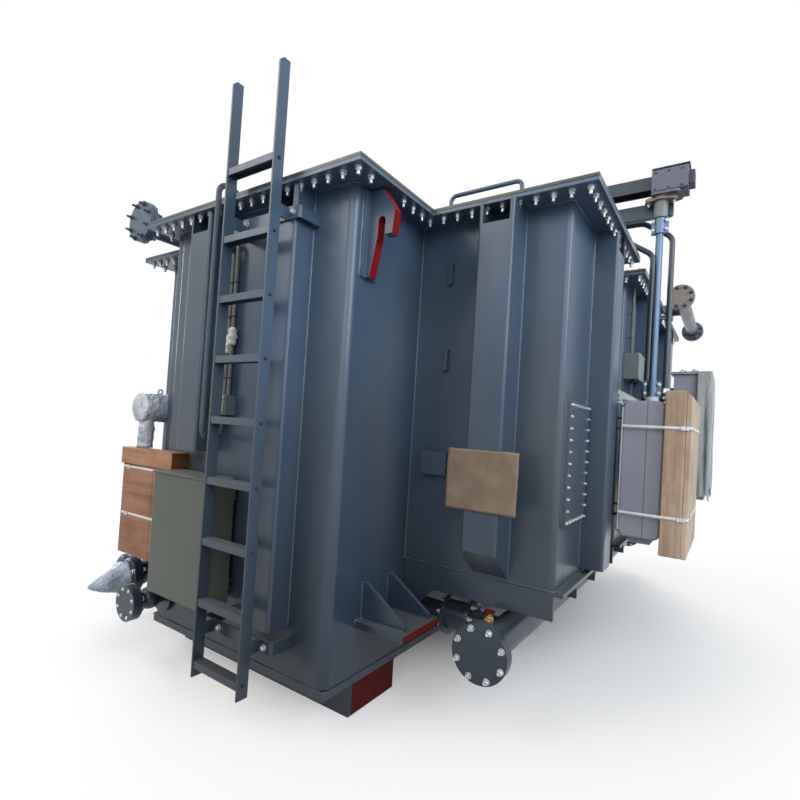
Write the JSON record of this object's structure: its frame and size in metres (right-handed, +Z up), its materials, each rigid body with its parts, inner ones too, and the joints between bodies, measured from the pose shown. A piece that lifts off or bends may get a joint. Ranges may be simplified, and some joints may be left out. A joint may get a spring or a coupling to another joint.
{
  "type": "power transformer tank",
  "caption": "Oil-filled power transformer tank with side wings, bolted lid, ladder, lifting lugs, blanked cooler pipes and a tap-changer motor drive, on base beams.",
  "frame": {"origin": "centre of the middle base beam's underside, on the ground", "axes": "+Z up, the ladder end faces -Y, the tap-changer drive side faces +X"},
  "size_m": [3.636, 5.3, 3.15],
  "materials": {
    "tank_paint": "dark slate gloss paint",
    "zinc": "zinc plated",
    "cabinet_green": "grey-green satin paint",
    "drive_grey": "light grey satin paint",
    "crate_plywood": "raw red-brown plywood",
    "guard_timber": "raw pine",
    "cardboard": "corrugated board",
    "clear_film": "crinkled stretch film",
    "shaft_alloy": "drawn tube"
  },
  "bodies": {
    "tank": {"base_beam_front": "tank_paint", "base_beam_middle": "tank_paint", "base_beam_rear": "tank_paint", "bottom_plate": "tank_paint", "tank_core": "tank_paint", "right_wing_1": "tank_paint", "right_wing_2": "tank_paint", "right_wing_3": "tank_paint", "left_wing_1": "tank_paint", "left_wing_2": "tank_paint", "left_wing_3": "tank_paint", "right_wing_skirts": "tank_paint", "left_wing_skirts": "tank_paint", "top_flange": "tank_paint", "lid": "tank_paint", "front_stiffeners": "tank_paint", "rear_stiffeners": "tank_paint", "right_wing_stiffeners": "tank_paint", "left_wing_stiffeners": "tank_paint", "lifting_lugs": "tank_paint", "jacking_pads": "tank_paint", "ladder_stringers": "tank_paint", "ladder_rungs": "tank_paint", "ladder_brackets": "tank_paint", "lid_handles": "tank_paint", "side_cover_plate": "tank_paint", "rating_board": "cardboard", "rating_plate_bracket": "tank_paint", "cable_clips": "tank_paint", "front_terminal_box": "drive_grey", "wall_conduits": "tank_paint", "arched_conduit": "tank_paint", "front_cabinet": "cabinet_green", "front_cabinet_rails": "tank_paint", "front_crate": "crate_plywood", "right_lower_header": "tank_paint", "left_lower_header": "tank_paint", "left_upper_header": "tank_paint", "right_upper_header": "tank_paint", "drain_valve": "tank_paint", "wrapped_valve": "clear_film", "drive_cabinet": "drive_grey", "drive_carriers": "zinc", "drive_guard_board": "guard_timber", "bevel_gearbox": "drive_grey", "gearbox_arm": "tank_paint", "bushing_covers": "tank_paint", "tap_changer_head": "drive_grey", "shaft_guard": "drive_grey", "oil_pipes": "tank_paint", "wing_terminal_box": "tank_paint", "marshalling_cabinet": "drive_grey", "marshalling_arms": "tank_paint"},
    "drive_shaft": {"drive_shaft": "shaft_alloy"}
  },
  "joints": [
    {"name": "drive_shaft_turn", "type": "hinge", "parent": "tank", "child": "drive_shaft", "pos_m": [1.8055, -0.9075, 2.2], "axis": [0, 0, 1], "continuous": true}
  ]
}
